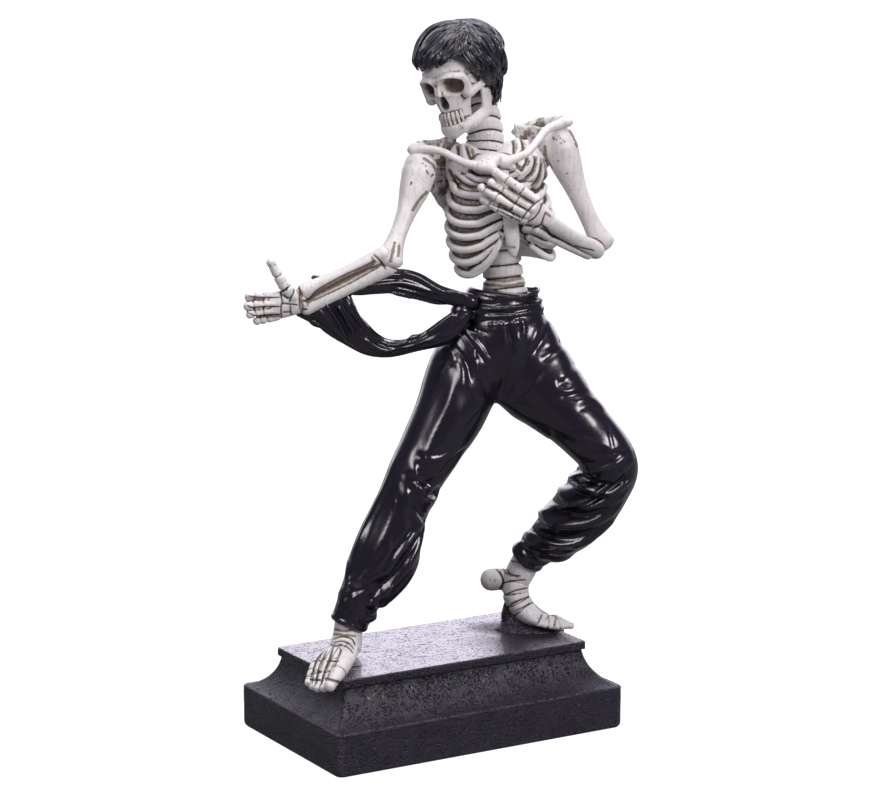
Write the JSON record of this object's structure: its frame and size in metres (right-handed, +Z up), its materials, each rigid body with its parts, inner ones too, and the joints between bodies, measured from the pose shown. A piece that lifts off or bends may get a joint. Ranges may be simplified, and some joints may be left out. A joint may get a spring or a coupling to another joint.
{
  "type": "skeleton figurine",
  "caption": "Resin figurine of a skeleton in loose trousers and a flying sash, in a fighting stance on a stepped rectangular plinth.",
  "frame": {"origin": "middle of the plinth's underside", "axes": "+Z up, X along the plinth with the raised left foot at +X, -Y the plinth's long front"},
  "size_m": [0.137, 0.0836, 0.2592],
  "materials": {
    "plinth": "semi-gloss pitted black paint on cast resin",
    "figure": "cast resin painted: bone white with a brown wash, glossy black trousers and sash, charcoal hair"
  },
  "bodies": {
    "root": {"plinth": "plinth", "figure": "figure"}
  },
  "joints": []
}
